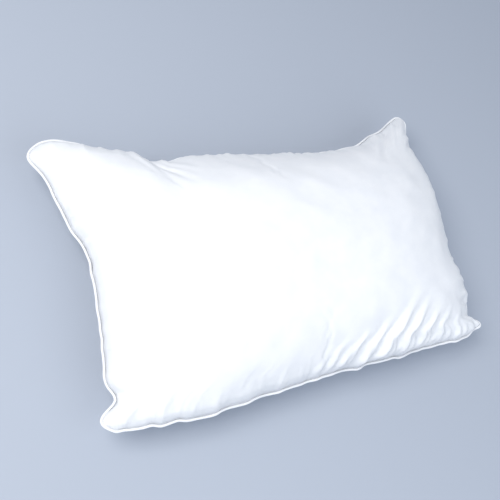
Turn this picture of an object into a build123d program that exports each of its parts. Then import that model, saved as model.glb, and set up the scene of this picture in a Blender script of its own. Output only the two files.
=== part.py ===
"""Bed pillow, lying on its back on a bed.

Two crowned shell panels are sewn together round a corded piping. Inside them a light liner bag of two
halves holds a fibre core between two layers of batting. Every sub-part follows the same outline: a
rectangle whose sides bow inwards between rounded corners, because filling a flat bag pulls its sides in.

Units are millimetres. +X is along the length, +Y towards the top edge, +Z up. The origin is on the bed,
under the middle of the pillow.
"""

import os
from dataclasses import dataclass, replace
from math import cos, radians, sin, sqrt

from build123d import *

# Overall sizes of the filled pillow, over the shell and without the piping
LENGTH = 750.0
WIDTH = 468.0
FRONT_RISE = 112.0  # from the seam up to the crown of the front panel
BACK_DROP = 76.0  # from the seam down to the bed
BACK_BOW = 57.0  # how far the middle of the top edge, at +Y, is pulled in
FRONT_BOW = 6.0  # the same for the bottom edge, which the filling has slumped towards
LEFT_BOW = 40.0
RIGHT_BOW = 10.0
CORNER_RADIUS = 24.0
LEAST_CORNER = 6.0  # the sharpest corner of an inner layer

# Cloth and seam
PANEL_WALL = 1.0
SEAM_ALLOWANCE = 12.0
CORD_RADIUS = 1.6
PIPING_WALL = 0.5
THREAD_WIDTH = 0.7
STITCH_LINE = 3.0  # from the shell's edge to the row of lockstitches
OVERLOCK_WIDTH = 1.4
LAYER_GAP = 0.3  # free space between one layer and the next

# Liner and filling
LINER_WALL = 0.8
LINER_EDGE = 10.0  # how much further in the liner's edge is than its crown
LINER_CLEARANCE = 5.0  # from the shell's inner face to the liner
LINER_SEAM = 5.0  # the liner's seam allowance
BATTING_WALL = 14.0

# Closing stitches, over the gap that the filling went in through
CLOSING_START = -230.0
CLOSING_PITCH = 6.0
CLOSING_COUNT = 25
CLOSING_RADIUS = 0.5
CLOSING_LENGTH = 5.0
CLOSING_OUT = 1.6  # from the shell's edge out to the middle of a stitch
CLOSING_SINK = 0.15  # how far a stitch presses into the piping

# Care label, a folded tape that hangs from the seam
LABEL_WIDTH = 38.0
LABEL_DROP = 46.0
LABEL_PLY = 0.4
LABEL_FOLD_GAP = 0.4
LABEL_CLEARANCE = 0.5

SEAM_HEIGHT = BACK_DROP
FLANGE_HALF = PIPING_WALL  # the flange is two layers of the piping's cloth
PIPING_RADIUS = CORD_RADIUS + PIPING_WALL
UP = 1
DOWN = -1


@dataclass
class Section:
    """One level of a crowned piece: its height from the seam, and its outline there."""

    height: float
    inset: float
    corner: float
    long_share: float  # of the long sides' bows
    short_share: float  # of the short sides' bows


SEAM_SECTION = Section(0.0, 0.0, CORNER_RADIUS, 1.0, 1.0)


def crown_sections(rise):
    """The levels of a crowned form, from the seam outline to the flat patch at its top."""
    return [
        SEAM_SECTION,
        Section(0.36 * rise, 0.02 * WIDTH, 0.14 * WIDTH, 0.9, 0.9),
        Section(0.73 * rise, 0.09 * WIDTH, 0.2 * WIDTH, 0.6, 0.45),
        Section(rise, 0.25 * WIDTH, 0.18 * WIDTH, 0.2, 0.04),
    ]


def side_arc(along, across, corner, bow):
    """The end of a side that bows in and runs smoothly into its corners, and how far out its middle is.

    along and across are the half sizes, measured along the side and out to it. The side is part of a
    circle that touches the corner's circle from outside, which gives its radius."""
    centre_along = along - corner
    centre_across = across - corner
    lowest = across - bow
    drop = centre_across - lowest
    radius = (centre_along**2 + drop**2 - corner**2) / (2 * bow)
    reach = corner / (radius + corner)
    end_along = centre_along * (1 - reach)
    end_across = centre_across + (lowest + radius - centre_across) * reach
    return end_along, end_across, lowest


def seam_y(x):
    """Where the shell's top edge is, a distance x along from its middle."""
    end_x, end_y, middle_y = side_arc(LENGTH / 2, WIDTH / 2, CORNER_RADIUS, BACK_BOW)
    rise = end_y - middle_y
    radius = (end_x**2 + rise**2) / (2 * rise)
    return middle_y + radius - sqrt(radius**2 - x**2)


def draw_outline(section):
    """Adds the closed outline of a section to the line that is being built."""
    half_x = LENGTH / 2 - section.inset
    half_y = WIDTH / 2 - section.inset
    long_share, short_share = section.long_share, section.short_share
    back_x, back_y, back_low = side_arc(half_x, half_y, section.corner, BACK_BOW * long_share)
    front_x, front_y, front_low = side_arc(half_x, half_y, section.corner, FRONT_BOW * long_share)
    left_y, left_x, left_low = side_arc(half_y, half_x, section.corner, LEFT_BOW * short_share)
    right_y, right_x, right_low = side_arc(half_y, half_x, section.corner, RIGHT_BOW * short_share)
    tip_x = half_x - section.corner * (1 - cos(radians(45)))
    tip_y = half_y - section.corner * (1 - sin(radians(45)))
    ThreePointArc((-back_x, back_y), (0, back_low), (back_x, back_y))
    ThreePointArc((back_x, back_y), (tip_x, tip_y), (right_x, right_y))
    ThreePointArc((right_x, right_y), (right_low, 0), (right_x, -right_y))
    ThreePointArc((right_x, -right_y), (tip_x, -tip_y), (front_x, -front_y))
    ThreePointArc((front_x, -front_y), (0, -front_low), (-front_x, -front_y))
    ThreePointArc((-front_x, -front_y), (-tip_x, -tip_y), (-left_x, -left_y))
    ThreePointArc((-left_x, -left_y), (-left_low, 0), (-left_x, left_y))
    ThreePointArc((-left_x, left_y), (-tip_x, tip_y), (-back_x, back_y))


def outline_face(section, height):
    """The flat face inside a section's outline, at a height above the seam."""
    with BuildSketch(Plane.XY.offset(SEAM_HEIGHT + height), mode=Mode.PRIVATE) as face:
        with BuildLine():
            draw_outline(section)
        make_face()
    return face.sketch


def moved_in(section, distance):
    """The parallel outline, a distance further in, or further out if it is negative."""
    corner = max(section.corner - distance, LEAST_CORNER)
    return replace(section, inset=section.inset + distance, corner=corner)


def crown(rise, base, sections, inside, way):
    """A solid crowned form on the seam, from base above it to inside short of its rise."""
    scale = (rise - base - inside) / rise
    faces = [
        outline_face(moved_in(section, inside), way * (base + section.height * scale))
        for section in sections
    ]
    with BuildPart(mode=Mode.PRIVATE) as form:
        loft(sections=faces)
    return form.part


def hollow_half(rise, base, sections, inside, wall, ledge, way):
    """Half of a bag: a crowned wall whose edge turns in as a flat ledge, the seam allowance or weld."""
    cavity = crown(rise, base, sections, inside + wall, way)
    ledge_top = Plane.XY.offset(SEAM_HEIGHT + way * (base + wall))
    kept = Keep.TOP if way == UP else Keep.BOTTOM
    mouth = moved_in(sections[0], inside + ledge)
    with BuildPart() as half:
        add(crown(rise, base, sections, inside, way))
        add(split(cavity, bisect_by=ledge_top, keep=kept, mode=Mode.PRIVATE), mode=Mode.SUBTRACT)
        extrude(outline_face(mouth, way * base), amount=way * wall, mode=Mode.SUBTRACT)
    return half


def flat_ring(outer, inner, low, high):
    """A flat band between two parallel outlines, from one height to another."""
    with BuildPart(mode=Mode.PRIVATE) as ring:
        extrude(outline_face(outer, low), amount=high - low)
        extrude(outline_face(inner, low), amount=high - low, mode=Mode.SUBTRACT)
    return ring.part


def tube_along(section, height, radius):
    """A solid tube that follows a closed outline."""
    middle = (0, WIDTH / 2 - section.inset - BACK_BOW * section.long_share, SEAM_HEIGHT + height)
    with BuildPart(mode=Mode.PRIVATE) as tube:
        with BuildLine(Plane.XY.offset(SEAM_HEIGHT + height)) as path:
            draw_outline(section)
        with BuildSketch(Plane(origin=middle, x_dir=(0, 1, 0), z_dir=(1, 0, 0))):
            Circle(radius)
        sweep(path=path.wire())
    return tube.part


def keep(part, label):
    """Labels a finished piece and writes it."""
    part.label = label
    export_step(part, f"parts/{label}.step")
    print(f"{label}: {part.volume / 1000:.1f} cm3, {len(part.solids())} solid(s)")


os.makedirs("parts", exist_ok=True)

# Shell: two panels of the same cut, with their seam allowances turned in
shell_front = crown_sections(FRONT_RISE)
shell_back = crown_sections(BACK_DROP)
front_panel = hollow_half(FRONT_RISE, FLANGE_HALF, shell_front, 0, PANEL_WALL, SEAM_ALLOWANCE, UP)
keep(front_panel.part, "front_panel")
back_panel = hollow_half(BACK_DROP, FLANGE_HALF, shell_back, 0, PANEL_WALL, SEAM_ALLOWANCE, DOWN)
keep(back_panel.part, "back_panel")

# Piping: a cord in a strip of cloth, whose two edges are the flange between the panels
cord_line = moved_in(SEAM_SECTION, -PIPING_RADIUS - LAYER_GAP)
allowance_edge = moved_in(SEAM_SECTION, SEAM_ALLOWANCE)
with BuildPart() as piping_cord:
    add(tube_along(cord_line, 0, CORD_RADIUS))
keep(piping_cord.part, "piping_cord")

with BuildPart() as piping_cover:
    add(tube_along(cord_line, 0, PIPING_RADIUS))
    add(flat_ring(cord_line, allowance_edge, -FLANGE_HALF, FLANGE_HALF))
    add(tube_along(cord_line, 0, CORD_RADIUS), mode=Mode.SUBTRACT)
keep(piping_cover.part, "piping_cover")

# Threads: a lockstitch has one thread on each side of the seam, and an overlock runs round the raw edges
stack_half = FLANGE_HALF + PANEL_WALL
stitch_row = moved_in(SEAM_SECTION, STITCH_LINE)
stitch_inner_edge = moved_in(stitch_row, THREAD_WIDTH)
with BuildPart() as needle_thread:
    add(flat_ring(stitch_row, stitch_inner_edge, stack_half, stack_half + THREAD_WIDTH))
keep(needle_thread.part, "needle_thread")

with BuildPart() as bobbin_thread:
    add(flat_ring(stitch_row, stitch_inner_edge, -stack_half - THREAD_WIDTH, -stack_half))
keep(bobbin_thread.part, "bobbin_thread")

overlock_edge = moved_in(allowance_edge, OVERLOCK_WIDTH)
with BuildPart() as overlock_thread:
    add(flat_ring(allowance_edge, overlock_edge, -stack_half, stack_half))
keep(overlock_thread.part, "overlock_thread")

# Liner: a light bag of two halves, sewn edge to edge, that keeps the fibres from coming through the shell
liner_edge = moved_in(SEAM_SECTION, LINER_EDGE)
liner_over = [liner_edge] + shell_front[1:]
liner_under = [liner_edge] + shell_back[1:]
liner_inside = PANEL_WALL + LINER_CLEARANCE
liner_front = hollow_half(FRONT_RISE, 0, liner_over, liner_inside, LINER_WALL, LINER_SEAM, UP)
keep(liner_front.part, "liner_front")
liner_back = hollow_half(BACK_DROP, 0, liner_under, liner_inside, LINER_WALL, LINER_SEAM, DOWN)
keep(liner_back.part, "liner_back")

liner_raw_edge = moved_in(liner_edge, liner_inside + LINER_SEAM)
with BuildPart() as liner_thread:
    add(flat_ring(liner_raw_edge, moved_in(liner_raw_edge, OVERLOCK_WIDTH), -LINER_WALL, LINER_WALL))
keep(liner_thread.part, "liner_thread")

# Filling: a loose fibre core between two layers of batting, which smooth its lumps
batting_inside = liner_inside + LINER_WALL + LAYER_GAP
core_inside = batting_inside + BATTING_WALL
over_seam = Plane.XY.offset(SEAM_HEIGHT + LINER_WALL + LAYER_GAP)
under_seam = Plane.XY.offset(SEAM_HEIGHT - LINER_WALL - LAYER_GAP)
with BuildPart() as batting_front:
    add(crown(FRONT_RISE, 0, liner_over, batting_inside, UP))
    add(crown(FRONT_RISE, 0, liner_over, core_inside, UP), mode=Mode.SUBTRACT)
    split(bisect_by=over_seam, keep=Keep.TOP)
keep(batting_front.part, "batting_front")

with BuildPart() as batting_back:
    add(crown(BACK_DROP, 0, liner_under, batting_inside, DOWN))
    add(crown(BACK_DROP, 0, liner_under, core_inside, DOWN), mode=Mode.SUBTRACT)
    split(bisect_by=under_seam, keep=Keep.BOTTOM)
keep(batting_back.part, "batting_back")

with BuildPart() as fibre_core:
    add(crown(FRONT_RISE, 0, liner_over, core_inside + LAYER_GAP, UP))
    add(crown(BACK_DROP, 0, liner_under, core_inside + LAYER_GAP, DOWN))
keep(fibre_core.part, "fibre_core")

# Closing stitches: short bars from the piping to the back panel, along the top edge
with BuildPart() as closing_stitches:
    for number in range(CLOSING_COUNT):
        stitch_x = CLOSING_START + number * CLOSING_PITCH
        stitch_y = seam_y(stitch_x) + CLOSING_OUT
        stitch_z = SEAM_HEIGHT - PIPING_RADIUS - CLOSING_RADIUS + CLOSING_SINK
        with Locations((stitch_x, stitch_y, stitch_z)):
            Cylinder(CLOSING_RADIUS, CLOSING_LENGTH, rotation=(90, 0, 0))
keep(closing_stitches.part, "closing_stitches")

# Care label: a tape folded double, with both its ends at the seam and its fold hanging down
label_thickness = 2 * LABEL_PLY + LABEL_FOLD_GAP
label_y = seam_y(0) + PIPING_RADIUS + LAYER_GAP
label_top = SEAM_HEIGHT - PIPING_RADIUS - LABEL_CLEARANCE
fold_z = label_top - LABEL_DROP + label_thickness / 2
straight = label_top - fold_z
with BuildPart() as care_label:
    with BuildSketch(Plane.YZ.offset(-LABEL_WIDTH / 2)):
        with Locations((label_y, fold_z + straight / 2)):
            Rectangle(label_thickness, straight)
        with Locations((label_y, fold_z)):
            Circle(label_thickness / 2)
            Circle(LABEL_FOLD_GAP / 2, mode=Mode.SUBTRACT)
        with Locations((label_y, fold_z + straight / 2)):
            Rectangle(LABEL_FOLD_GAP, straight, mode=Mode.SUBTRACT)
    extrude(amount=LABEL_WIDTH)
keep(care_label.part, "care_label")
print(f"label hinge: y {label_y:.2f}, z {label_top - label_thickness / 2:.2f}")
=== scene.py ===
# %% [markdown]
# # A bed pillow
# A bed pillow is a flat bag of two cotton panels, turned out and filled with loose fibre. Nothing in it is
# stiff, so its whole shape comes from the cut of the bag and the push of the filling: a high crown, sides
# that draw in, and flat ears left over at the corners. The looks are built here in the order of the sewing,
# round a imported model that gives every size.

import math

import bmesh
import bpy
import numpy as np
from mathutils import Matrix, Vector


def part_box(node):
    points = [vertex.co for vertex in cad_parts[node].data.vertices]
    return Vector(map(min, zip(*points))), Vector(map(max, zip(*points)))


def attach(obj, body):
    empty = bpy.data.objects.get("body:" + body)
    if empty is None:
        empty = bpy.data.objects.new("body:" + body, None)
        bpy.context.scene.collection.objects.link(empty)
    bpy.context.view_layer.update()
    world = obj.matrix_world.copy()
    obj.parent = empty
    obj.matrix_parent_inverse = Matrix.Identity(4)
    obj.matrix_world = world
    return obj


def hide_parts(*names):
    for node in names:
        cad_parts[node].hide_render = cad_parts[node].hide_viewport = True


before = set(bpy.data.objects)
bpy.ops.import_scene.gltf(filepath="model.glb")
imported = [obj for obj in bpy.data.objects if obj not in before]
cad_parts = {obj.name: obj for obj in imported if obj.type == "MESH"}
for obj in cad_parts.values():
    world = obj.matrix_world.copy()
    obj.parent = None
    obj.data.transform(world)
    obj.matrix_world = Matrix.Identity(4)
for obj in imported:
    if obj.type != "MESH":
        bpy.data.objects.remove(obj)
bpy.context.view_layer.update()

# %% [markdown]
# ## Sizes
# The seam's height, the crown's rise and the piping's radii are read from the imported model, so that the
# looks can't drift from it. The other sizes are set here: those of the flat cut, the simulated squares, the
# cloth walls and the stitch lines. A bag sewn 80 by 50 cm draws in to about 75 by 47 cm when it is filled.

# %% Sizes
front_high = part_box("front_panel")[1]
cord_low, cord_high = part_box("piping_cord")
cover_low, cover_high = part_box("piping_cover")
SEAM_Z = cord_low.z + (cord_high.z - cord_low.z) / 2
RISE = front_high.z - SEAM_Z
DROP = SEAM_Z
CORD_R = (cord_high.z - cord_low.z) / 2
PIPING_R = (cover_high.z - cover_low.z) / 2
CUT_L = 0.80
CUT_W = 0.50
EDGE_X = CUT_L / 2
EDGE_Y = CUT_W / 2
CUT_CORNER = 0.022
CELL = 0.0068  # side of a simulated square of cloth
CLOTH_WALL = 0.0006
LINER_WALL = 0.0004
TAPE_WALL = 0.00022
STITCH_INSET = 0.003  # from the seam to the row of lockstitches
RAW_EDGE_INSET = 0.009
print(f"seam at {SEAM_Z:.3f}, rise {RISE:.3f}, piping radius {PIPING_R:.4f}")

# %% [markdown]
# ## The seam line
# Seen from above, a filled pillow isn't a rectangle. Each side is drawn in where the filling pulls on it, and
# runs out again into an ear. One way to draw that is to trace points, but a maker thinks in sides: how far
# each side is drawn in, at a few places along it. A smooth curve through those few values gives a line that
# is easy to change, and the four sides are then blended across the bag.

# %% Seam line
EARS = {
    "back left": (-0.380, 0.240),
    "back right": (0.386, 0.231),
    "front left": (-0.371, -0.243),
    "front right": (0.378, -0.233),
}
DRAWN_IN = {
    "back": [(-1, 0), (-0.96, -3), (-0.88, 0), (-0.72, 12), (-0.6, 27), (-0.5, 50), (-0.3, 49), (0, 56),
             (0.3, 64), (0.55, 59), (0.72, 42), (0.84, 24), (0.92, 5), (0.96, -2), (1, 0)],
    "front": [(-1, 0), (-0.965, -7), (-0.93, -5), (-0.88, -6), (-0.75, -12), (-0.6, -15), (-0.4, -12),
              (-0.2, -9), (0, -5), (0.2, -6), (0.45, -5), (0.7, -4), (0.86, -3), (0.92, 1), (0.95, 5),
              (0.975, 2), (1, 0)],
    "left": [(-1, 0), (-0.95, -5), (-0.9, 3), (-0.84, 24), (-0.72, 17), (-0.5, 26), (-0.25, 36), (0.05, 43),
             (0.2, 42), (0.35, 28), (0.5, 24), (0.65, 15), (0.8, 3), (0.9, -8), (0.96, -5), (1, 0)],
    "right": [(-1, 0), (-0.96, -3), (-0.92, 3), (-0.87, 22), (-0.8, 19), (-0.68, 12), (-0.55, 11),
              (-0.35, 20), (-0.1, 14), (0.1, 8), (0.35, 5), (0.52, 10), (0.68, 17), (0.82, 10),
              (0.9, 2), (0.96, -2), (1, 0)],
}


def smooth_through(knots, at):
    """A smooth curve through a few (place, value) knots, read at many places."""
    place = np.array([k[0] for k in knots], float)
    value = np.array([k[1] for k in knots], float)
    slope = np.gradient(value, place)
    i = np.clip(np.searchsorted(place, at) - 1, 0, len(place) - 2)
    width = place[i + 1] - place[i]
    t = np.clip((at - place[i]) / width, 0, 1)
    t2, t3 = t * t, t * t * t
    return (
        (2 * t3 - 3 * t2 + 1) * value[i]
        + (t3 - 2 * t2 + t) * width * slope[i]
        + (3 * t2 - 2 * t3) * value[i + 1]
        + (t3 - t2) * width * slope[i + 1]
    )


def spread(a, b):
    """Where a point of the flat cut, at (a, b) from -1 to 1 each way, lies in plan on the filled pillow."""
    bl, br = np.array(EARS["front left"]), np.array(EARS["front right"])
    tl, tr = np.array(EARS["back left"]), np.array(EARS["back right"])
    s, t = ((a + 1) / 2)[..., None], ((b + 1) / 2)[..., None]
    zero = np.zeros_like(a)
    mm = 0.001
    back = tl + (tr - tl) * s + np.stack([zero, -mm * smooth_through(DRAWN_IN["back"], a)], -1)
    front = bl + (br - bl) * s + np.stack([zero, mm * smooth_through(DRAWN_IN["front"], a)], -1)
    left = bl + (tl - bl) * t + np.stack([mm * smooth_through(DRAWN_IN["left"], b), zero], -1)
    right = br + (tr - br) * t + np.stack([-mm * smooth_through(DRAWN_IN["right"], b), zero], -1)
    corners = bl * (1 - s) * (1 - t) + br * s * (1 - t) + tl * (1 - s) * t + tr * s * t
    return front * (1 - t) + back * t + left * (1 - s) + right * s - corners


# %% [markdown]
# ## The bag before filling
# Both panels are grids of small squares that share their edge, which is the seam. They are kept in two
# states: flat as they were cut, and roughly puffed up. The simulation starts from the puffed state and
# remembers the flat one, so the cloth that has nowhere to go buckles into real gathers.

# %% Two panels as grids
columns = round(CUT_L / CELL)
rows = round(CUT_W / CELL)


def cut_grid():
    """Flat positions of a panel's grid, with the square corners rounded off."""
    along = np.linspace(-EDGE_X, EDGE_X, columns + 1)
    across = np.linspace(-EDGE_Y, EDGE_Y, rows + 1)
    x, y = np.meshgrid(along, across)
    past_x = np.abs(x) - (EDGE_X - CUT_CORNER)
    past_y = np.abs(y) - (EDGE_Y - CUT_CORNER)
    corner = (past_x > 0) & (past_y > 0)
    u = np.where(corner, past_x / CUT_CORNER, 0)
    v = np.where(corner, past_y / CUT_CORNER, 0)
    round_x = EDGE_X - CUT_CORNER + CUT_CORNER * u * np.sqrt(1 - v * v / 2)
    round_y = EDGE_Y - CUT_CORNER + CUT_CORNER * v * np.sqrt(1 - u * u / 2)
    return np.where(corner, np.sign(x) * round_x, x), np.where(corner, np.sign(y) * round_y, y)


def swell(a, b, power_a, power_b, root):
    """How far up the filling pushes, from 0 on the seam to 1 in the middle."""
    along = np.clip(1 - np.abs(a) ** power_a, 0, 1)
    across = np.clip(1 - np.abs(b) ** power_b, 0, 1)
    return (along * across) ** root


cut_x, cut_y = cut_grid()
a_grid, b_grid = cut_x / EDGE_X, cut_y / EDGE_Y
edge = np.ones_like(cut_x, bool)
edge[1:-1, 1:-1] = False
plan = spread(a_grid, b_grid)
top_z = SEAM_Z + RISE * 0.97 * swell(a_grid, b_grid, 2.6, 2.2, 0.52)
under_z = SEAM_Z - DROP * 0.99 * swell(a_grid, b_grid, 4.5, 3.4, 0.55)
top_z[edge] = SEAM_Z
under_z[edge] = SEAM_Z
puffed_top = np.dstack([plan, top_z])
puffed_under = np.dstack([plan, under_z])
plan_points = plan.reshape(-1, 2)
print("grid", rows, "by", columns, "plan", plan_points.min(0).round(3), plan_points.max(0).round(3))

# %% [markdown]
# ## Filling it
# The filling could be modelled as fibres, but its push is the same as that of air: outwards, everywhere. So
# the bag is a closed cloth with pressure. Soft pins hold it near the puffed shape, weakly in the middle and
# more along the seam, so that the outline stays and the folds are free.

# %% Cloth simulation
count = edge.size
top_index = np.arange(count).reshape(edge.shape)
under_index = top_index.copy()
under_index[~edge] = count + np.arange((~edge).sum())


def quads(index, flip):
    """The faces of a grid, turned over if flip is set."""
    face = np.stack([index[:-1, :-1], index[:-1, 1:], index[1:, 1:], index[1:, :-1]], -1).reshape(-1, 4)
    return face[:, ::-1] if flip else face


def closed_bag(top, under):
    """One list of points for both panels, with the seam's points shared."""
    return np.concatenate([top.reshape(-1, 3), under[~edge]])


def fill_bag(frames, pressure):
    """Simulates the filling and returns the two panels' grids."""
    start = closed_bag(puffed_top, puffed_under)
    flat = np.dstack([cut_x, cut_y, np.full_like(cut_x, SEAM_Z)])
    rest = closed_bag(flat, flat)
    faces = np.concatenate([quads(top_index, False), quads(under_index, True)])
    mesh = bpy.data.meshes.new("bag")
    mesh.from_pydata(start.tolist(), [], faces.tolist())
    bag = bpy.data.objects.new("bag", mesh)
    bpy.context.scene.collection.objects.link(bag)
    bag.shape_key_add(name="filled")
    cut = bag.shape_key_add(name="cut")
    cut.data.foreach_set("co", rest.ravel())
    cut.value = 0
    hold = bag.vertex_groups.new(name="hold")
    near_seam = 1 - np.clip((1 - np.maximum(np.abs(a_grid), np.abs(b_grid))) / 0.12, 0, 1)
    strength = closed_bag(*[np.dstack([0.04 + 0.3 * near_seam**2] * 3)] * 2)[:, 0]
    for level in np.unique(strength.round(2)):
        hold.add(np.flatnonzero(strength.round(2) == level).tolist(), float(level), "ADD")
    cloth = bag.modifiers.new("filling", "CLOTH")
    s = cloth.settings
    s.quality = 5
    s.mass = 0.15
    s.tension_stiffness = s.compression_stiffness = 20
    s.shear_stiffness = 5
    s.bending_stiffness = 0.2
    s.tension_damping = s.compression_damping = s.shear_damping = 8
    s.bending_damping = 0.5
    s.air_damping = 3
    s.rest_shape_key = cut
    s.vertex_group_mass = "hold"
    s.pin_stiffness = 0.6
    s.use_pressure = True
    s.uniform_pressure_force = pressure
    s.effector_weights.gravity = 0
    cloth.collision_settings.use_collision = False
    cloth.point_cache.frame_end = frames
    for number in range(1, frames + 1):
        bpy.context.scene.frame_set(number)
    seen = bag.evaluated_get(bpy.context.evaluated_depsgraph_get())
    made = np.zeros(len(start) * 3)
    seen.data.vertices.foreach_get("co", made)
    bpy.data.objects.remove(bag)
    made = made.reshape(-1, 3)
    moved = np.linalg.norm(made - start, axis=1)
    print(f"cloth moved {moved.mean() * 1000:.1f} mm on average, {moved.max() * 1000:.1f} at most")
    return made[top_index], made[under_index]


top, under = fill_bag(18, 3)
print("thickness", round(float(top[..., 2].max() - under[..., 2].min()), 3))

# %% [markdown]
# ## Finer cloth
# The simulated squares are about 7 mm wide, too coarse for a sewn edge. Halving them along a smooth curve
# keeps the folds and rounds them.

# %% Halving the squares


def halve(grid):
    """Puts a new row between every two, on a cubic through its four neighbours."""
    ahead = np.concatenate([2 * grid[:1] - grid[1:2], grid, 2 * grid[-1:] - grid[-2:-1]])
    between = (9 * (ahead[1:-2] + ahead[2:-1]) - ahead[:-3] - ahead[3:]) / 16
    out = np.empty((2 * grid.shape[0] - 1,) + grid.shape[1:])
    out[::2] = grid
    out[1::2] = between
    return out


def finer(grid):
    """Halves a grid's squares both ways."""
    return halve(halve(grid).swapaxes(0, 1)).swapaxes(0, 1)


top, under = finer(top), finer(under)
a_fine, b_fine = finer(np.dstack([a_grid, b_grid])).transpose(2, 0, 1)
flat_x, flat_y = a_fine * CUT_L / 2, b_fine * CUT_W / 2
rim = np.ones(a_fine.shape, bool)
rim[1:-1, 1:-1] = False
print("fine grid", top.shape)

# %% [markdown]
# ## Gathers and creases
# A seam draws its cloth up, and the cloth answers with folds that start at the stitches and die out in the
# panel. The simulation gives the broad ones. The short ones are narrower than its squares, so they are added
# to the finer cloth as what they are: a line from the seam, with a ridge along it and a hollow on each side.
# A fold is described on the flat cut, by its start, its heading and its length, so it follows the cloth.

# %% Fold tools


def outward(grid):
    """The direction that points out of a panel's grid, at every point."""
    along = np.gradient(grid, axis=1)
    across = np.gradient(grid, axis=0)
    normal = np.cross(along, across)
    return normal / np.maximum(np.linalg.norm(normal, axis=-1, keepdims=True), 1e-12)


def ease(x):
    """Goes smoothly from 0 to 1 as x does."""
    x = np.clip(x, 0, 1)
    return x * x * (3 - 2 * x)


def fold(start, heading, length, width, height):
    """How far one fold lifts each point of the flat cut. Heading is in degrees from the length."""
    way = np.array([math.cos(math.radians(heading)), math.sin(math.radians(heading))])
    away_x, away_y = flat_x - start[0], flat_y - start[1]
    along = away_x * way[0] + away_y * way[1]
    aside = -away_x * way[1] + away_y * way[0]
    reach = along / length
    spread_out = width * (0.85 + 0.6 * np.clip(reach, 0, 1.2))
    side = aside / spread_out
    ridge = np.exp(-(side**2)) * np.cos(1.9 * side)
    return height * ridge * ease(reach / 0.12 + 0.9) * (1 - ease(reach)) * ease(1.5 - side**2 / 6)


def lumps(x, y, size, seed):
    """Smooth uneven ground from -1 to 1, with bumps about size across."""
    heights = np.random.default_rng(seed).uniform(-1, 1, (64, 64))
    px, py = x / size + 31.5, y / size + 31.5
    i, j = np.floor(px).astype(int), np.floor(py).astype(int)
    u, v = ease(px - i), ease(py - j)
    low = heights[j, i] * (1 - u) + heights[j, i + 1] * u
    high = heights[j + 1, i] * (1 - u) + heights[j + 1, i + 1] * u
    return low * (1 - v) + high * v


# %% [markdown]
# The gathers that are there by design are set one by one: the fan at the right of the bottom edge, where the
# filling has slumped and left cloth to spare, and the pinches beside the ears. The rest of the seam gets
# short random puckers from a fixed seed.

# %% Folds of the front panel
FAN_HEIGHT = 1.25
FAN = [
    # x on the bottom edge, heading, length, width, height, all in mm and degrees
    (-24, 38, 62, 7, 2.2), (6, 50, 78, 8, 3.4), (30, 40, 98, 8, 4.6), (50, 55, 80, 6, 3.6),
    (76, 42, 128, 10, 6.2), (96, 58, 90, 7, 4.4), (104, 30, 70, 6, 3.0), (120, 46, 178, 12, 7.6),
    (144, 60, 104, 7, 5.0), (150, 36, 92, 7, 3.8), (168, 48, 146, 9, 6.4), (192, 62, 88, 7, 4.4),
    (210, 44, 122, 9, 5.4), (236, 64, 84, 7, 4.0), (248, 40, 76, 6, 3.0), (264, 54, 100, 8, 4.6),
    (290, 70, 62, 7, 3.0), (314, 58, 76, 8, 3.6), (340, 75, 52, 8, 2.4),
]
PINCHES = [
    # x, y, heading, length, width, height
    (-212, 250, -62, 120, 10, -6.0), (-232, 250, -75, 90, 12, 4.0), (-190, 250, -48, 96, 11, 4.0),
    (-400, -205, 18, 110, 9, -5.5), (-400, -188, 30, 90, 11, 3.6), (-372, -250, 62, 84, 10, 3.0),
    (-400, 96, -12, 76, 9, -3.4), (-400, 118, 4, 70, 11, 2.6), (-400, 60, 8, 60, 9, -2.0),
    (400, -200, 156, 90, 9, -4.0), (372, -250, 118, 76, 9, 3.4), (400, -178, 172, 70, 10, 2.6),
    (330, 250, -128, 130, 13, -6.0), (352, 250, -118, 96, 10, 4.0), (296, 250, -120, 92, 12, 3.6),
    (400, 190, -160, 78, 10, 2.8), (400, 168, -175, 64, 9, -2.4),
]
from_seam = np.minimum(EDGE_X - np.abs(flat_x), EDGE_Y - np.abs(flat_y))
lift = np.zeros_like(flat_x)
for x, heading, length, width, height in FAN:
    lift += fold((x / 1000, -EDGE_Y), heading, length / 1000, width / 1000, FAN_HEIGHT * height / 1000)
for x, y, heading, length, width, height in PINCHES:
    lift += fold((x / 1000, y / 1000), heading, length / 1000, width / 1000, height / 1000)


def puckers(seed, spacing, skip_fan):
    """Short gathers all round the seam, uneven in place, heading, length and height."""
    pick = np.random.default_rng(seed)
    total = np.zeros_like(flat_x)
    sides = (
        (0, -EDGE_Y, EDGE_X, 90),
        (0, EDGE_Y, EDGE_X, -90),
        (-EDGE_X, 0, EDGE_Y, 0),
        (EDGE_X, 0, EDGE_Y, 180),
    )
    for side_x, side_y, half, inward in sides:
        place = -half + 0.03
        while place < half - 0.03:
            length, width = pick.uniform(0.022, 0.07), pick.uniform(0.005, 0.010)
            height, lean = pick.uniform(0.0006, 0.0024), pick.normal(0, 16)
            start = (place, side_y) if side_x == 0 else (side_x, place)
            fan_here = skip_fan and side_y < 0 and -0.03 < place < 0.36
            if not fan_here:
                total += fold(start, inward + lean, length, width, height)
            place += spacing * pick.uniform(0.6, 1.5)
    return total


lift += puckers(11, 0.024, True)
uneven = 0.0022 * lumps(flat_x, flat_y, 0.085, 3) + 0.0012 * lumps(flat_x, flat_y, 0.038, 4)
fade = ease(from_seam / 0.010)
top = top + outward(top) * (lift * fade + uneven * ease(from_seam / 0.06))[..., None]
under_lift = puckers(23, 0.022, False)
under = under - outward(under) * (under_lift * fade)[..., None]
print(f"folds lift the front {lift.max() * 1000:.1f} mm and sink it {-lift.min() * 1000:.1f} mm")

# %% [markdown]
# The seam itself isn't straight between puckers. It wanders a millimetre or two up, down and sideways, and it
# carries the cloth beside it along. The underside is then pressed flat where it lies on the bed.

# %% Wandering seam


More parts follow.
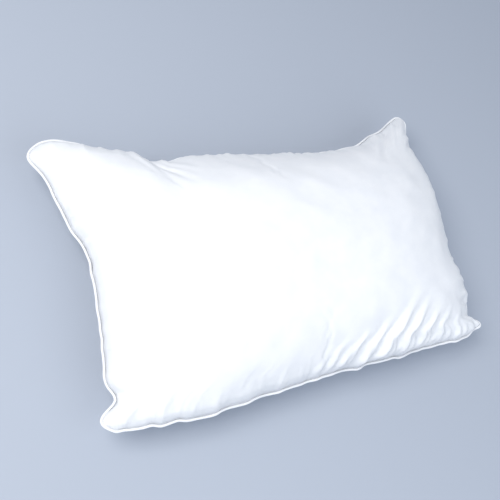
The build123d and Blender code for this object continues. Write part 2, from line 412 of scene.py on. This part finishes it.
def press_flat(z, floor, soft):
    """Lets nothing sink under the floor, with a soft turn instead of an edge."""
    over = (z - floor) / soft
    return floor + soft * np.where(over > 20, over, np.log1p(np.exp(np.clip(over, -30, 20))))


edge_x = np.where(EDGE_X - np.abs(flat_x) <= EDGE_Y - np.abs(flat_y), np.sign(flat_x) * EDGE_X, flat_x)
edge_y = np.where(EDGE_X - np.abs(flat_x) <= EDGE_Y - np.abs(flat_y), flat_y, np.sign(flat_y) * EDGE_Y)
beside = (1 - ease(from_seam / 0.035))[..., None]
wander = np.dstack([
    0.0020 * lumps(edge_x, edge_y, 0.016, 5) + 0.0022 * lumps(edge_x, edge_y, 0.034, 6),
    0.0020 * lumps(edge_x, edge_y, 0.016, 7) + 0.0022 * lumps(edge_x, edge_y, 0.034, 8),
    0.0022 * lumps(edge_x, edge_y, 0.020, 9) + 0.0030 * lumps(edge_x, edge_y, 0.050, 10),
])
top = top + wander * beside
under = under + wander * beside
under[..., 2] = press_flat(under[..., 2], 0.001, 0.004)
top[rim] = under[rim] = (top[rim] + under[rim]) / 2
print("underside lies at", round(float(under[..., 2].min()), 4))

# %% [markdown]
# ## Panels
# Each panel becomes its own cloth, with the flat cut kept as its UV map. The weave then follows the threads
# of the cloth and not the room.

# %% Panel meshes


def panel(name, grid, flip):
    """A panel's mesh, with its flat cut as UV map."""
    index = np.arange(grid.shape[0] * grid.shape[1]).reshape(grid.shape[:2])
    faces = quads(index, flip)
    mesh = bpy.data.meshes.new(name)
    mesh.from_pydata(grid.reshape(-1, 3).tolist(), [], faces.tolist())
    cut = mesh.uv_layers.new(name="cut")
    flat = np.stack([flat_x, flat_y], -1).reshape(-1, 2)
    cut.data.foreach_set("uv", flat[faces.ravel()].ravel())
    mesh.shade_smooth()
    made = bpy.data.objects.new(name, mesh)
    bpy.context.scene.collection.objects.link(made)
    return made


shell_front = panel("shell_front", top, False)
shell_back = panel("shell_back", under, True)

# %% [markdown]
# ## Cotton
# The shell is a plain weave of fine cotton: threads over and under each other, about 30 to the centimetre. It
# could be an image, but two crossed waves read from the UV map give it at any distance, and they turn with
# the cloth. Slubs, which are thicker places in a thread, and a little unevenness of tone keep it from looking
# printed. The weave is far too fine to model, so it is bump, while every fold is real shape.

# %% Cloth material


class Shade:
    """A few short ways of adding nodes to one material."""

    def __init__(self, name):
        self.material = bpy.data.materials.new(name)
        self.material.use_nodes = True
        self.nodes = self.material.node_tree.nodes
        self.links = self.material.node_tree.links
        self.shader = self.nodes["Principled BSDF"]

    def node(self, kind, **settings):
        """A new node with its settings."""
        made = self.nodes.new(kind)
        for key, value in settings.items():
            setattr(made, key, value)
        return made

    def join(self, source, target, name):
        """Links an output to a named input."""
        self.links.new(source, target.inputs[name])

    def math(self, operation, first, second):
        """One operation on two outputs or numbers."""
        made = self.node("ShaderNodeMath", operation=operation)
        for i, value in enumerate((first, second)):
            if isinstance(value, (int, float)):
                made.inputs[i].default_value = value
            else:
                self.links.new(value, made.inputs[i])
        return made.outputs[0]

    def noise(self, place, scale, detail):
        """Fine uneven ground, read at a place."""
        made = self.node("ShaderNodeTexNoise")
        made.inputs["Scale"].default_value = scale
        made.inputs["Detail"].default_value = detail
        self.join(place, made, "Vector")
        return made.outputs["Fac"]

    def tone(self, factor, dark, light):
        """A colour between two, by a factor."""
        ramp = self.node("ShaderNodeValToRGB")
        ramp.color_ramp.elements[0].position = 0.3
        ramp.color_ramp.elements[1].position = 0.7
        ramp.color_ramp.elements[0].color = (*dark, 1)
        ramp.color_ramp.elements[1].color = (*light, 1)
        self.join(factor, ramp, "Fac")
        self.join(ramp.outputs["Color"], self.shader, "Base Color")

    def bump(self, height, distance, strength):
        """Turns a height into bump on the shader."""
        made = self.node("ShaderNodeBump")
        made.inputs["Distance"].default_value = distance
        made.inputs["Strength"].default_value = strength
        self.join(height, made, "Height")
        self.join(made.outputs["Normal"], self.shader, "Normal")


def woven(name, dark, light, threads, roughness, sheen, uv=True, depth=0.00012):
    """A plain weave with a number of threads to the metre."""
    cloth = Shade(name)
    where = cloth.node("ShaderNodeTexCoord").outputs["UV" if uv else "Object"]
    split = cloth.node("ShaderNodeSeparateXYZ")
    cloth.join(where, split, "Vector")
    slub = cloth.math("MULTIPLY", cloth.noise(where, 900, 2), 0.9)
    waves = []
    for axis in ("X", "Y"):
        turns = cloth.math("MULTIPLY", split.outputs[axis], threads * math.pi)
        waves.append(cloth.math("SINE", cloth.math("ADD", turns, slub), 0))
    weave = cloth.math("MULTIPLY", waves[0], waves[1])
    uneven = cloth.noise(where, 26, 3)
    height = cloth.math("ADD", weave, cloth.math("MULTIPLY", cloth.noise(where, 420, 4), 1.4))
    cloth.bump(height, depth, 0.55)
    cloth.tone(uneven, dark, light)
    cloth.shader.inputs["Roughness"].default_value = roughness
    cloth.shader.inputs["Sheen Weight"].default_value = sheen
    cloth.shader.inputs["Sheen Roughness"].default_value = 0.45
    cloth.shader.inputs["Specular IOR Level"].default_value = 0.25
    return cloth.material


shell_cotton = woven("shell_cotton", (0.875, 0.885, 0.905), (0.925, 0.93, 0.94), 3000, 0.82, 0.18)
piping_cotton = woven("piping_cotton", (0.89, 0.90, 0.92), (0.94, 0.945, 0.955), 3000, 0.78, 0.2, uv=False)
liner_cloth = woven("liner_cloth", (0.84, 0.85, 0.86), (0.90, 0.90, 0.91), 1500, 0.9, 0.1)
label_satin = woven("label_satin", (0.90, 0.905, 0.915), (0.95, 0.95, 0.955), 4000, 0.42, 0.35, depth=0.00005)

# %% [markdown]
# Thread, cord and fibre have no weave. Thread and cord show a twist, which is a wave that leans across them
# and is painted darker in its grooves, as painted shade.
# The filling is a mat of curled fibres, which is uneven ground at two sizes: fine for the fibres, coarse for
# the tone.

# %% Thread and fibre materials


def twisted(name, dark, light, turns):
    """A twisted thread or cord, in object space, with painted shade in the grooves of its twist."""
    yarn = Shade(name)
    where = yarn.node("ShaderNodeTexCoord").outputs["Object"]
    wave = yarn.node("ShaderNodeTexWave", bands_direction="DIAGONAL")
    wave.inputs["Scale"].default_value = turns
    wave.inputs["Distortion"].default_value = 1.2
    yarn.join(where, wave, "Vector")
    yarn.bump(wave.outputs["Fac"], 0.0002, 0.6)
    # The tone reads the same wave as the bump, so the twist's grooves get painted shade in the colour.
    yarn.tone(wave.outputs["Fac"], dark, light)
    yarn.shader.inputs["Roughness"].default_value = 0.6
    yarn.shader.inputs["Sheen Weight"].default_value = 0.15
    return yarn.material


def matted(name, dark, light, scale):
    """Felted or loose fibre."""
    mat = Shade(name)
    where = mat.node("ShaderNodeTexCoord").outputs["Object"]
    fibres = mat.noise(where, scale, 8)
    mat.bump(fibres, 0.004, 0.8)
    mat.tone(mat.noise(where, scale / 5, 4), dark, light)
    mat.shader.inputs["Roughness"].default_value = 0.95
    mat.shader.inputs["Sheen Weight"].default_value = 0.4
    return mat.material


sewing_thread = twisted("sewing_thread", (0.86, 0.87, 0.88), (0.94, 0.94, 0.945), 900)
cotton_cord = twisted("cotton_cord", (0.80, 0.79, 0.75), (0.89, 0.88, 0.84), 260)
felted_batting = matted("felted_batting", (0.88, 0.88, 0.87), (0.95, 0.95, 0.945), 160)
loose_fibre = matted("loose_fibre", (0.88, 0.88, 0.87), (0.96, 0.96, 0.955), 90)


def ready(piece, body, slot, material, *nodes):
    """Gives a finished piece its material and its place in the model."""
    if material.name not in piece.data.materials:
        piece.data.materials.append(material)
    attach(piece, body)
    if nodes:
        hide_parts(*nodes)
    piece.data.calc_loop_triangles()
    print(f"{piece.name}: {len(piece.data.loop_triangles)} triangles")


# %% [markdown]
# ## Thickness
# A panel with one layer of faces has no edge to it, and can't be printed. The Solidify modifier gives it a
# wall of cloth, inwards, so that the outside stays where the folds put it.

# %% Panel walls
for piece, node in ((shell_front, "front_panel"), (shell_back, "back_panel")):
    wall = piece.modifiers.new("wall", "SOLIDIFY")
    wall.thickness = CLOTH_WALL
    wall.offset = -1
    ready(piece, "pillow", "shell_cloth", shell_cotton, node)

# %% [markdown]
# ## Piping
# The seam holds a narrow strip of cloth with a cord in it. Its line is the seam itself, moved out by the
# piping's own radius. It could be a bevelled curve, but Geometry Nodes can take the line as it is, sweep a
# circle along it and set the material, and the same tree serves for the cord inside.

# %% Seam loop


def around(grid):
    """The points round a grid's edge, in order."""
    return np.concatenate([grid[0, :-1], grid[:-1, -1], grid[-1, :0:-1], grid[:0:-1, 0]])


seam = around(top)
seam_flat = around(np.dstack([flat_x, flat_y]))


def smoothed(loop, times):
    """A closed loop with its smallest kinks taken out."""
    for _ in range(times):
        loop = 0.5 * loop + 0.25 * (np.roll(loop, 1, 0) + np.roll(loop, -1, 0))
    return loop


def beside_seam(loop, out, up):
    """The loop moved out from the pillow, and up, by some metres."""
    run = np.roll(loop, -1, 0) - np.roll(loop, 1, 0)
    run[:, 2] = 0
    side = np.stack([run[:, 1], -run[:, 0], np.zeros(len(run))], -1)
    side /= np.maximum(np.linalg.norm(side, axis=1, keepdims=True), 1e-9)
    return smoothed(loop + side * out + np.array([0, 0, up]), 3)


run_lengths = np.linalg.norm(np.roll(seam, -1, 0) - seam, axis=1)
print(f"seam is {run_lengths.sum():.3f} m round, on a cut of {2 * (CUT_L + CUT_W):.2f} m")

# %% [markdown]
# A tree is built once, with its sizes as named inputs, and run on as many lines as there are. Its result is
# kept as a plain mesh, so nothing later depends on the tree.

# %% Piping tree


def line_object(name, loop, closed=True):
    """A mesh of edges only, that a tree can follow."""
    n = len(loop)
    edges = [(i, (i + 1) % n) for i in range(n if closed else n - 1)]
    mesh = bpy.data.meshes.new(name)
    mesh.from_pydata([tuple(p) for p in loop], edges, [])
    made = bpy.data.objects.new(name, mesh)
    bpy.context.scene.collection.objects.link(made)
    return made


def new_tree(name, inputs):
    """An empty tree with a geometry input and output, and named number inputs."""
    tree = bpy.data.node_groups.new(name, "GeometryNodeTree")
    tree.interface.new_socket("Geometry", in_out="INPUT", socket_type="NodeSocketGeometry")
    for label, kind, value in inputs:
        socket = tree.interface.new_socket(label, in_out="INPUT", socket_type=kind)
        if value is not None:
            socket.default_value = value
    tree.interface.new_socket("Geometry", in_out="OUTPUT", socket_type="NodeSocketGeometry")
    return tree, tree.nodes.new("NodeGroupInput"), tree.nodes.new("NodeGroupOutput")


def finish_tree(tree, entry, exit_node, geometry):
    """Makes instances real, sets the material and leaves the tree."""
    real = tree.nodes.new("GeometryNodeRealizeInstances")
    paint = tree.nodes.new("GeometryNodeSetMaterial")
    tree.links.new(geometry, real.inputs["Geometry"])
    tree.links.new(real.outputs["Geometry"], paint.inputs["Geometry"])
    tree.links.new(entry.outputs["Material"], paint.inputs["Material"])
    tree.links.new(paint.outputs["Geometry"], exit_node.inputs["Geometry"])


def grown(thing, tree, values):
    """Runs a tree on an object, with its inputs set, and keeps the result as a plain mesh."""
    modifier = thing.modifiers.new("grow", "NODES")
    modifier.node_group = tree
    for item in tree.interface.items_tree:
        if item.item_type == "SOCKET" and item.in_out == "INPUT" and item.name in values:
            modifier[item.identifier] = values[item.name]
    bpy.context.view_layer.update()
    seen = thing.evaluated_get(bpy.context.evaluated_depsgraph_get())
    mesh = bpy.data.meshes.new_from_object(seen)
    mesh.name = thing.name
    thing.modifiers.remove(modifier)
    thing.data = mesh
    mesh.shade_smooth()
    return thing


tube_tree, tube_in, tube_out = new_tree("tube along a line", [
    ("Radius", "NodeSocketFloat", 0.002),
    ("Sides", "NodeSocketInt", 10),
    ("Material", "NodeSocketMaterial", None),
])
to_curve = tube_tree.nodes.new("GeometryNodeMeshToCurve")
circle = tube_tree.nodes.new("GeometryNodeCurvePrimitiveCircle")
sweep = tube_tree.nodes.new("GeometryNodeCurveToMesh")
sweep.inputs["Fill Caps"].default_value = True
tube_tree.links.new(tube_in.outputs["Geometry"], to_curve.inputs["Mesh"])
tube_tree.links.new(tube_in.outputs["Radius"], circle.inputs["Radius"])
tube_tree.links.new(tube_in.outputs["Sides"], circle.inputs["Resolution"])
tube_tree.links.new(to_curve.outputs["Curve"], sweep.inputs["Curve"])
tube_tree.links.new(circle.outputs["Curve"], sweep.inputs["Profile Curve"])
finish_tree(tube_tree, tube_in, tube_out, sweep.outputs["Mesh"])


def tube(name, loop, radius, sides, material):
    """A closed tube along a loop."""
    made = grown(line_object(name, loop), tube_tree, {"Radius": radius, "Sides": sides, "Material": material})
    shape = bmesh.new()
    shape.from_mesh(made.data)
    bmesh.ops.recalc_face_normals(shape, faces=shape.faces)
    shape.to_mesh(made.data)
    shape.free()
    made.data.shade_smooth()
    return made


piping_line = beside_seam(seam, PIPING_R * 0.8, 0)
piping = tube("piping", piping_line, PIPING_R, 12, piping_cotton)
ready(piping, "pillow", "piping_cloth", piping_cotton, "piping_cover")
cord_core = tube("piping_core", piping_line, CORD_R * 0.95, 8, cotton_cord)
ready(cord_core, "pillow", "cord", cotton_cord, "piping_cord")

# %% [markdown]
# ## Stitches
# A lockstitch shows as a row of short dashes, one thread on each side of the cloth. Modelling some 850 of
# them by hand is out of the question, and a texture would have no height. So one small rounded dash is
# instanced at even steps along a line, turned to follow it. The same tree makes the overlock and the closing
# stitches, with other sizes and a lean.

# %% Stitch tree
stitch_tree, stitch_in, stitch_out = new_tree("stitches along a line", [
    ("Step", "NodeSocketFloat", 0.003),
    ("Length", "NodeSocketFloat", 0.0022),
    ("Thickness", "NodeSocketFloat", 0.0003),
    ("Lean", "NodeSocketFloat", 0.0),
    ("Wobble", "NodeSocketFloat", 0.08),
    ("Seed", "NodeSocketInt", 4),
    ("Material", "NodeSocketMaterial", None),
])


def tree_node(kind, **settings):
    """A new node in the stitch tree."""
    made = stitch_tree.nodes.new(kind)
    for key, value in settings.items():
        setattr(made, key, value)
    return made


def wire(source, target):
    """A link in the stitch tree."""
    stitch_tree.links.new(source, target)


line = tree_node("GeometryNodeMeshToCurve")
steps = tree_node("GeometryNodeResampleCurve", mode="LENGTH")
dash = tree_node("GeometryNodeMeshUVSphere")
dash.inputs["Segments"].default_value = 6
dash.inputs["Rings"].default_value = 4
dash.inputs["Radius"].default_value = 0.5
direction = tree_node("GeometryNodeInputTangent")
facing = tree_node("FunctionNodeAlignEulerToVector", axis="X")
lean = tree_node("FunctionNodeRotateRotation", rotation_space="LOCAL")
lean_amount = tree_node("ShaderNodeCombineXYZ")
jitter = tree_node("FunctionNodeRandomValue", data_type="FLOAT")
lean_sum = tree_node("ShaderNodeMath", operation="ADD")
low_jitter = tree_node("ShaderNodeMath", operation="MULTIPLY")
low_jitter.inputs[1].default_value = -1.0
size = tree_node("ShaderNodeCombineXYZ")
place = tree_node("GeometryNodeInstanceOnPoints")
wire(stitch_in.outputs["Geometry"], line.inputs["Mesh"])
wire(line.outputs["Curve"], steps.inputs["Curve"])
wire(stitch_in.outputs["Step"], steps.inputs["Length"])
wire(direction.outputs["Tangent"], facing.inputs["Vector"])
wire(stitch_in.outputs["Wobble"], low_jitter.inputs[0])
wire(low_jitter.outputs[0], jitter.inputs[2])
wire(stitch_in.outputs["Wobble"], jitter.inputs[3])
wire(stitch_in.outputs["Seed"], jitter.inputs["Seed"])
wire(jitter.outputs[1], lean_sum.inputs[0])
wire(stitch_in.outputs["Lean"], lean_sum.inputs[1])
wire(lean_sum.outputs[0], lean_amount.inputs["Z"])
wire(facing.outputs["Rotation"], lean.inputs["Rotation"])
wire(lean_amount.outputs["Vector"], lean.inputs["Rotate By"])
wire(stitch_in.outputs["Length"], size.inputs["X"])
wire(stitch_in.outputs["Thickness"], size.inputs["Y"])
wire(stitch_in.outputs["Thickness"], size.inputs["Z"])
wire(steps.outputs["Curve"], place.inputs["Points"])
wire(dash.outputs["Mesh"], place.inputs["Instance"])
wire(lean.outputs["Rotation"], place.inputs["Rotation"])
wire(size.outputs["Vector"], place.inputs["Scale"])
finish_tree(stitch_tree, stitch_in, stitch_out, place.outputs["Instances"])


def stitches(name, loop, step, length, thickness, lean=0.0, wobble=0.08, closed=True):
    """A row of stitches along a line."""
    return grown(line_object(name, loop, closed), stitch_tree, {
        "Step": step, "Length": length, "Thickness": thickness, "Lean": lean, "Wobble": wobble,
        "Seed": 4, "Material": sewing_thread,
    })


# %% [markdown]
# The needle's thread lies over the seam allowances and the bobbin's under them. The overlock runs along the
# raw edges, further in, and leans because it wraps round them.

# %% Rows of stitches
needle_line = beside_seam(seam, -STITCH_INSET, 0.0012)
needle_row = stitches("needle_stitches", needle_line, 0.003, 0.0024, 0.0005)
ready(needle_row, "pillow", "thread", sewing_thread, "needle_thread")
bobbin_line = beside_seam(seam, -STITCH_INSET, -0.0012)
bobbin_row = stitches("bobbin_stitches", bobbin_line, 0.003, 0.0024, 0.0005)
ready(bobbin_row, "pillow", "thread", sewing_thread, "bobbin_thread")
raw_line = beside_seam(seam, -RAW_EDGE_INSET, 0)
overlock_row = stitches("overlock_stitches", raw_line, 0.0025, 0.0052, 0.0005, lean=1.1, wobble=0.15)
ready(overlock_row, "pillow", "thread", sewing_thread, "overlock_thread")

# %% [markdown]
# ## Closing stitches
# The gap that the filling went in through is closed last, from outside, with slanting whip stitches over the
# edge. They lie under the piping on the far long side, and cover only the length of that gap.

# %% Closing row
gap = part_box("closing_stitches")
far_side = [p for p, f in zip(beside_seam(seam, 0.0008, -0.0016), seam_flat) if f[1] > EDGE_Y - 1e-6]
gap_line = np.array([p for p in far_side if gap[0].x <= p[0] <= gap[1].x])
whip_row = stitches("whip_stitches", gap_line, 0.006, 0.006, 0.0011, lean=1.15, wobble=0.2, closed=False)
ready(whip_row, "pillow", "thread", sewing_thread, "closing_stitches")

# %% [markdown]
# ## Liner, batting and fibre
# What is inside never shows, but it is what the pillow is. Each layer is the puffed shape again, a little
# further in: its edge stops short of the seam and its crown is lower by the layers over it.

# %% Inner layers


def inner_grid(edge_in, crown_in, way):
    """A grid inside the shell, on one side of the seam: in from its edge and lower than its crown."""
    cut = round(edge_in / (CUT_W / (flat_x.shape[0] - 1)))
    keep_rows = np.linspace(cut, flat_x.shape[0] - 1 - cut, 41).round().astype(int)
    keep_columns = np.linspace(cut, flat_x.shape[1] - 1 - cut, 65).round().astype(int)
    pick = np.ix_(keep_rows, keep_columns)
    a, b = np.meshgrid(np.linspace(-1, 1, 65), np.linspace(-1, 1, 41))
    rounding = np.sqrt((1 - np.abs(a) ** 9) * (1 - np.abs(b) ** 7))
    shell = (top if way > 0 else under)[pick][..., 2]
    height = np.maximum(way * (shell - SEAM_Z) - crown_in, 0) * rounding
    return np.dstack([(top[pick][..., :2] + under[pick][..., :2]) / 2, SEAM_Z + way * height])


def grid_object(name, grids):
    """A mesh of one or two grids, closed along their shared edge if there are two."""
    points = np.concatenate([g.reshape(-1, 3) for g in grids])
    index = np.arange(grids[0].shape[0] * grids[0].shape[1]).reshape(grids[0].shape[:2])
    faces = [quads(index, False)]
    if len(grids) == 2:
        faces.append(quads(index + index.size, True))
    mesh = bpy.data.meshes.new(name)
    mesh.from_pydata(points.tolist(), [], np.concatenate(faces).tolist())
    uv = mesh.uv_layers.new(name="cut")
    flat = np.concatenate([g[..., :2].reshape(-1, 2) for g in grids])
    uv.data.foreach_set("uv", flat[np.concatenate(faces).ravel()].ravel())
    made = bpy.data.objects.new(name, mesh)
    bpy.context.scene.collection.objects.link(made)
    shape = bmesh.new()
    shape.from_mesh(mesh)
    bmesh.ops.remove_doubles(shape, verts=shape.verts, dist=1e-6)
    if len(grids) == 2:
        bmesh.ops.recalc_face_normals(shape, faces=shape.faces)
    elif grids[0][..., 2].min() < SEAM_Z - 0.001:
        bmesh.ops.reverse_faces(shape, faces=shape.faces)
    shape.to_mesh(mesh)
    shape.free()
    mesh.shade_smooth()
    return made


core = grid_object("fibre_filling", [inner_grid(0.052, 0.028, 1), inner_grid(0.052, 0.028, -1)])
ready(core, "pillow", "fibre", loose_fibre, "fibre_core")
for name, node, way in (("batting_over", "batting_front", 1), ("batting_under", "batting_back", -1)):
    outside = inner_grid(0.034, 0.012, way)
    inside = inner_grid(0.048, 0.026, way)
    pad = grid_object(name, [outside, inside])
    shape = bmesh.new()
    shape.from_mesh(pad.data)
    bmesh.ops.bridge_loops(shape, edges=[e for e in shape.edges if e.is_boundary])
    bmesh.ops.recalc_face_normals(shape, faces=shape.faces)
    shape.to_mesh(pad.data)
    shape.free()
    ready(pad, "pillow", "batting", felted_batting, node)
for name, node, way in (("liner_over", "liner_front", 1), ("liner_under", "liner_back", -1)):
    bag = grid_object(name, [inner_grid(0.026, 0.008, way)])
    wall = bag.modifiers.new("wall", "SOLIDIFY")
    wall.thickness = LINER_WALL
    wall.offset = -1
    ready(bag, "pillow", "liner_cloth", liner_cloth, node)
liner_loop = around(inner_grid(0.026, 0.0, 1))
liner_row = stitches("liner_stitches", liner_loop, 0.004, 0.005, 0.0005, lean=1.1, wobble=0.15)
ready(liner_row, "pillow", "thread", sewing_thread, "liner_thread")

# %% [markdown]
# ## Care label
# A small blank tape is folded double and caught in the seam at the middle of the far side. It hangs on its
# own body, because it swings. It is made as one strip that runs down, round the fold and up again, with the
# slight curl that satin tape keeps.

# %% Label
tag_low, tag_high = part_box("care_label")
tag_mid_y = (tag_low.y + tag_high.y) / 2
ply_gap = (tag_high.y - tag_low.y) / 2 - TAPE_WALL
across_tag = np.linspace(tag_low.x, tag_high.x, 25)
turn = np.linspace(0, math.pi, 9)
down = np.linspace(tag_high.z, tag_low.z + ply_gap, 22)
profile = [(-ply_gap, z) for z in down]
profile += [(-ply_gap * math.cos(t), tag_low.z + ply_gap - ply_gap * math.sin(t)) for t in turn[1:-1]]
profile += [(ply_gap, z) for z in down[::-1]]
tag_points, tag_uv = [], []
run = 0.0
for i, (y, z) in enumerate(profile):
    if i:
        run += math.dist(profile[i - 1], profile[i])
    hang = (tag_high.z - z) / (tag_high.z - tag_low.z)
    for x in across_tag:
        share = (x - tag_low.x) / (tag_high.x - tag_low.x)
        curl = 0.0016 * hang**2 * math.cos(2.2 * math.pi * (share - 0.4)) + 0.0022 * hang**2
        tag_points.append((x, tag_mid_y + y + curl, z))
        tag_uv.append((x, run))
width = len(across_tag)
tag_index = np.arange(len(tag_points)).reshape(-1, width)
tag_faces = quads(tag_index, False)
tag_mesh = bpy.data.meshes.new("care_tape")
tag_mesh.from_pydata(tag_points, [], tag_faces.tolist())
tag_layer = tag_mesh.uv_layers.new(name="cut")
tag_layer.data.foreach_set("uv", np.array(tag_uv)[tag_faces.ravel()].ravel())
tag = bpy.data.objects.new("care_tape", tag_mesh)
bpy.context.scene.collection.objects.link(tag)
tag_mesh.shade_smooth()
tape_wall = tag.modifiers.new("wall", "SOLIDIFY")
tape_wall.thickness = TAPE_WALL
tape_wall.offset = 0
ready(tag, "label", "label_tape", label_satin, "care_label")

# %% [markdown]
# ## Floor, light and camera
# White cloth shows its folds only where the light comes across them. One large soft light stands high on the
# left, a weaker one in front opens up the shadows, and the room fills the rest with a cool tone. The floor is
# plain and a little darker than the cloth, so that the outline reads.

# %% Floor, light and camera
bpy.ops.mesh.primitive_plane_add(size=12)
floor = bpy.context.object
floor.name = "floor"
stone = bpy.data.materials.new("floor_paper")
stone.use_nodes = True
stone.node_tree.nodes["Principled BSDF"].inputs["Base Color"].default_value = (0.44, 0.48, 0.55, 1)
stone.node_tree.nodes["Principled BSDF"].inputs["Roughness"].default_value = 0.9
floor.data.materials.append(stone)


def softbox(name, place, aim, size, power, colour):
    """A large square light at a place, pointed at a point."""
    light = bpy.data.lights.new(name, "AREA")
    light.size = size
    light.energy = power
    light.color = colour
    lamp = bpy.data.objects.new(name, light)
    lamp.location = place
    lamp.rotation_euler = (Vector(aim) - Vector(place)).to_track_quat("-Z", "Y").to_euler()
    bpy.context.scene.collection.objects.link(lamp)
    return lamp


softbox("key", (-1.5, 0.1, 2.1), (0, 0, 0.1), 1.3, 46, (1.0, 0.985, 0.96))
softbox("fill", (0.4, -1.5, 1.5), (0, 0, 0.1), 2.0, 14, (0.88, 0.94, 1.0))
world = bpy.data.worlds.new("room")
world.use_nodes = True
world.node_tree.nodes["Background"].inputs["Color"].default_value = (0.80, 0.87, 1.0, 1)
world.node_tree.nodes["Background"].inputs["Strength"].default_value = 0.56
bpy.context.scene.world = world
bpy.context.scene.view_settings.view_transform = "Standard"

lens = bpy.data.cameras.new("camera")
lens.lens = 59.328
lens.sensor_width = 36
camera = bpy.data.objects.new("camera", lens)
right = Vector((0.8797, -0.2892, 0.3774)).normalized()
upward = Vector((0.1434, 0.9181, 0.3694)).normalized()
backward = right.cross(upward).normalized()
place = Vector((-1.4884, -0.8256, 2.5972)) * 0.470 + Vector((0, 0, SEAM_Z))
camera.matrix_world = Matrix((
    (right.x, upward.x, backward.x, place.x),
    (right.y, upward.y, backward.y, place.y),
    (right.z, upward.z, backward.z, place.z),
    (0, 0, 0, 1),
))
bpy.context.scene.collection.objects.link(camera)
bpy.context.scene.camera = camera
